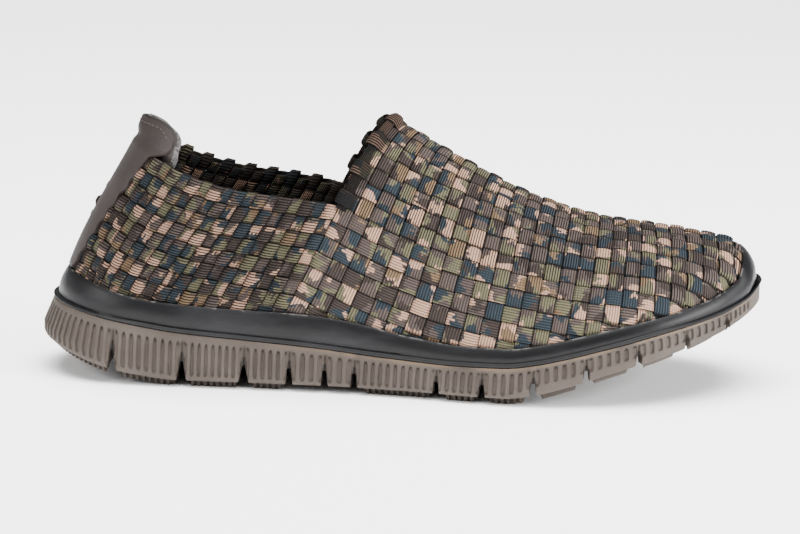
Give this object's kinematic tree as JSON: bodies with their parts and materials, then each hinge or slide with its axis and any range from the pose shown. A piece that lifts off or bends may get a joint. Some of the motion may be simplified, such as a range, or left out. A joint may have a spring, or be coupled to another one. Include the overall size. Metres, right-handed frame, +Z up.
{
  "type": "woven slip-on sneaker",
  "caption": "Right-foot slip-on sneaker with a woven elastic strap upper, a leather heel pull tab, a black rand with toe bumper and a ribbed foam sole.",
  "frame": {"origin": "middle of the shoe's bounding box on the floor plane under the tread pads", "axes": "+X towards the toe, +Y towards the inner side of the foot, +Z up from the floor"},
  "size_m": [0.2915, 0.1028, 0.105],
  "materials": {
    "woven_straps": "matte ribbed elastic webbing in a camouflage print",
    "sole_foam": "matte moulded foam",
    "rand_black": "satin",
    "heel_leather": "matte smooth leather",
    "insole_cloth": "matte"
  },
  "bodies": {
    "root": {"sole_unit": "sole_foam", "insole": "insole_cloth", "upper": "woven_straps", "rand": "rand_black", "heel_strip": "heel_leather", "tab_lining": "heel_leather"}
  },
  "joints": []
}
